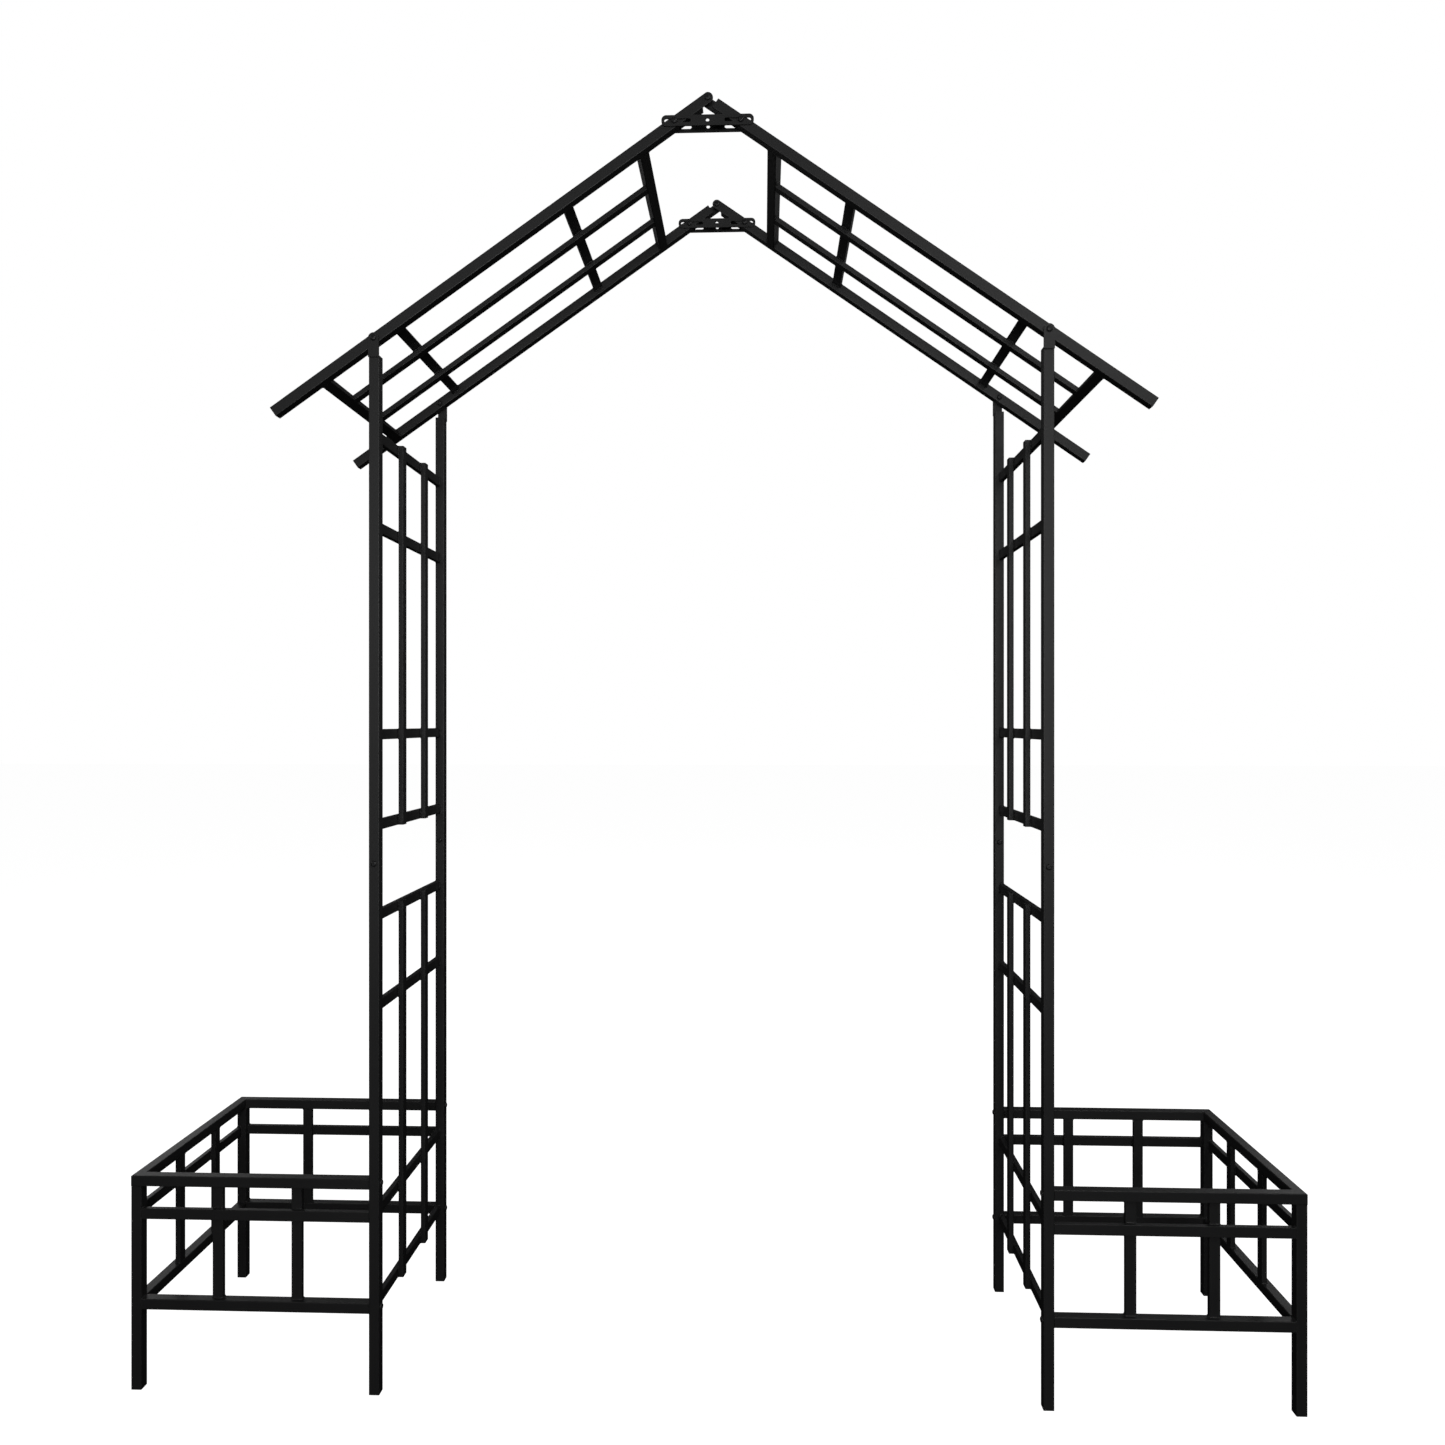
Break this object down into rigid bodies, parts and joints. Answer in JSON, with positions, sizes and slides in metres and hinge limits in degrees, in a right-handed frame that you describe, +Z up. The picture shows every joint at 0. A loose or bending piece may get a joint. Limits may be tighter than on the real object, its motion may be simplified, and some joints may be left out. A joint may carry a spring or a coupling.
{
  "type": "metal trellis arch",
  "caption": "Black metal garden arch with lattice side frames, a hinged pitched roof and an open planter frame on each side.",
  "frame": {"origin": "on the ground, midway between the side frames and midway between the front and rear posts", "axes": "+Z up, +X across the passage to the right when seen from the front, -Y to the front"},
  "size_m": [2.1798, 0.4491, 2.427],
  "materials": {
    "frame": "matte black powder coat",
    "hardware": "black coated steel screws",
    "plastic": "matte black"
  },
  "bodies": {
    "left_side": {"left_foot_plugs": "plastic", "left_frame_bolts": "hardware", "left_frame_nuts": "hardware", "left_front_lower_post": "frame", "left_front_upper_post": "frame", "left_lower_bars": "frame", "left_lower_crossbars": "frame", "left_pivot_bolts": "hardware", "left_pivot_tabs": "frame", "left_planter_bars": "frame", "left_planter_front_rails": "frame", "left_planter_inserts": "frame", "left_planter_legs": "frame", "left_planter_rear_rails": "frame", "left_planter_side_rails": "frame", "left_rear_lower_post": "frame", "left_rear_upper_post": "frame", "left_splice_sleeves": "frame", "left_upper_bars": "frame", "left_upper_crossbars": "frame"},
    "left_roof_panel": {"left_roof_bolts": "hardware", "left_roof_cross_slats": "frame", "left_roof_end_slats": "frame", "left_roof_front_rail": "frame", "left_roof_nuts": "hardware", "left_roof_rail_plugs": "plastic", "left_roof_rear_rail": "frame", "left_roof_rods": "frame"},
    "right_roof_panel": {"right_roof_bolts": "hardware", "right_roof_cross_slats": "frame", "right_roof_end_slats": "frame", "right_roof_front_rail": "frame", "right_roof_nuts": "hardware", "right_roof_rail_plugs": "plastic", "right_roof_rear_rail": "frame", "right_roof_rods": "frame"},
    "right_side": {"right_foot_plugs": "plastic", "right_frame_bolts": "hardware", "right_frame_nuts": "hardware", "right_front_lower_post": "frame", "right_front_upper_post": "frame", "right_lower_bars": "frame", "right_lower_crossbars": "frame", "right_pivot_bolts": "hardware", "right_pivot_tabs": "frame", "right_planter_bars": "frame", "right_planter_front_rails": "frame", "right_planter_inserts": "frame", "right_planter_legs": "frame", "right_planter_rear_rails": "frame", "right_planter_side_rails": "frame", "right_rear_lower_post": "frame", "right_rear_upper_post": "frame", "right_splice_sleeves": "frame", "right_upper_bars": "frame", "right_upper_crossbars": "frame"},
    "front_braces": {"front_ridge_braces": "frame"},
    "rear_braces": {"rear_ridge_braces": "frame"}
  },
  "joints": [
    {"name": "roof_pitch", "type": "hinge", "parent": "left_side", "child": "left_roof_panel", "pos_m": [-0.6254, 0, 1.9791], "axis": [0, -1, 0], "range_deg": [-10, 15]},
    {"name": "ridge_hinge", "type": "hinge", "parent": "left_roof_panel", "child": "right_roof_panel", "pos_m": [0, 0, 2.41701], "axis": [0, -1, 0], "range_deg": [-30, 20]},
    {"name": "right_pivot", "type": "hinge", "parent": "right_roof_panel", "child": "right_side", "pos_m": [0.6254, 0, 1.9791], "axis": [0, -1, 0], "range_deg": [-10, 15]},
    {"name": "front_brace_hinge", "type": "hinge", "parent": "left_roof_panel", "child": "front_braces", "pos_m": [-0.0616, 0, 2.37388], "axis": [0, -1, 0], "range_deg": [-15, 10]},
    {"name": "rear_brace_hinge", "type": "hinge", "parent": "left_roof_panel", "child": "rear_braces", "pos_m": [-0.0616, 0, 2.37388], "axis": [0, -1, 0], "range_deg": [-15, 10]}
  ],
  "couplings": [
    {"joint": "ridge_hinge", "follows": "roof_pitch", "ratio": -2},
    {"joint": "right_pivot", "follows": "roof_pitch", "ratio": 1},
    {"joint": "front_brace_hinge", "follows": "roof_pitch", "ratio": -1},
    {"joint": "rear_brace_hinge", "follows": "roof_pitch", "ratio": -1}
  ]
}
